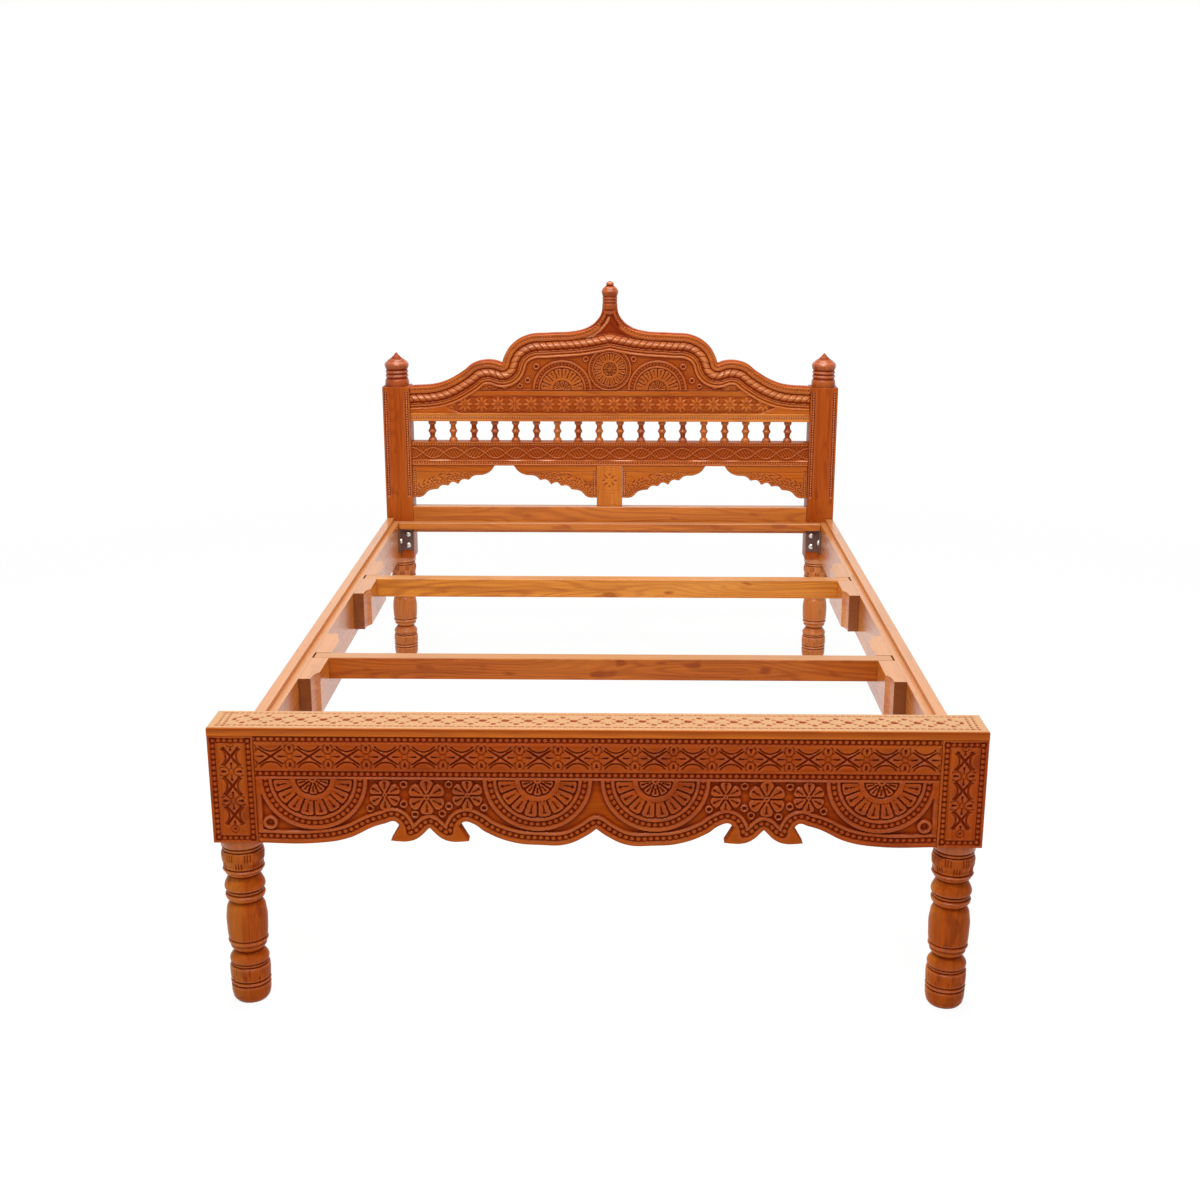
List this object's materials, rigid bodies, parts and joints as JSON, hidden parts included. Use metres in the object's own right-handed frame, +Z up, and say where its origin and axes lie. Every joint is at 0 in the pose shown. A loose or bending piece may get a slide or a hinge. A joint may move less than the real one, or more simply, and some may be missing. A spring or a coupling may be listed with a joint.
{
  "type": "bed",
  "caption": "Carved teak double bed with turned legs, scalloped foot rail, arched headboard over a spindle gallery, rebated side rails and lift-out cross slats.",
  "frame": {"origin": "on the floor, under the middle of the bed's box", "axes": "+Z up, +Y from the carved foot end towards the headboard, +X to the right seen from the foot"},
  "size_m": [1.32, 2.1, 1.126],
  "materials": {
    "carved_teak": "carved and lacquered",
    "plain_teak": "planed and lacquered",
    "bracket_paint": "dark brown paint",
    "bolt_zinc": "zinc plated"
  },
  "bodies": {
    "frame": {"foot_post_left": "carved_teak", "foot_post_right": "carved_teak", "foot_rail": "carved_teak", "foot_cap": "carved_teak", "head_post_left": "carved_teak", "head_post_right": "carved_teak", "crest_panel": "carved_teak", "crest_finial": "carved_teak", "mid_rail": "carved_teak", "centre_stile": "carved_teak", "spandrel_outer_left": "carved_teak", "spandrel_outer_right": "carved_teak", "spandrel_inner_left": "carved_teak", "spandrel_inner_right": "carved_teak", "spindle_01": "carved_teak", "spindle_02": "carved_teak", "spindle_03": "carved_teak", "spindle_04": "carved_teak", "spindle_05": "carved_teak", "spindle_06": "carved_teak", "spindle_07": "carved_teak", "spindle_08": "carved_teak", "spindle_09": "carved_teak", "spindle_10": "carved_teak", "spindle_11": "carved_teak", "spindle_12": "carved_teak", "spindle_13": "carved_teak", "spindle_14": "carved_teak", "spindle_15": "carved_teak", "spindle_16": "carved_teak", "spindle_17": "carved_teak", "spindle_18": "carved_teak", "foot_ledge": "plain_teak", "head_ledge": "plain_teak", "side_rail_left": "plain_teak", "side_rail_right": "plain_teak", "lower_head_rail": "plain_teak", "gallery_top_rail": "plain_teak", "slat_housing_front_left": "plain_teak", "slat_housing_front_right": "plain_teak", "slat_housing_rear_left": "plain_teak", "slat_housing_rear_right": "plain_teak", "corner_bracket_foot_left": "bracket_paint", "corner_bracket_foot_right": "bracket_paint", "corner_bracket_head_left": "bracket_paint", "corner_bracket_head_right": "bracket_paint", "post_bolt_foot_left_upper": "bolt_zinc", "post_bolt_foot_left_lower": "bolt_zinc", "post_bolt_foot_right_upper": "bolt_zinc", "post_bolt_foot_right_lower": "bolt_zinc", "post_bolt_head_left_upper": "bolt_zinc", "post_bolt_head_left_lower": "bolt_zinc", "post_bolt_head_right_upper": "bolt_zinc", "post_bolt_head_right_lower": "bolt_zinc", "rail_bolt_foot_left": "bolt_zinc", "rail_bolt_foot_right": "bolt_zinc", "rail_bolt_head_left": "bolt_zinc", "rail_bolt_head_right": "bolt_zinc"},
    "slat_front": {"slat_front": "plain_teak"},
    "slat_rear": {"slat_rear": "plain_teak"}
  },
  "joints": [
    {"name": "slat_front_lift", "type": "slide", "parent": "frame", "child": "slat_front", "axis": [0, 0, 1], "range_m": [0, 0.15]},
    {"name": "slat_rear_lift", "type": "slide", "parent": "frame", "child": "slat_rear", "axis": [0, 0, 1], "range_m": [0, 0.15]}
  ]
}
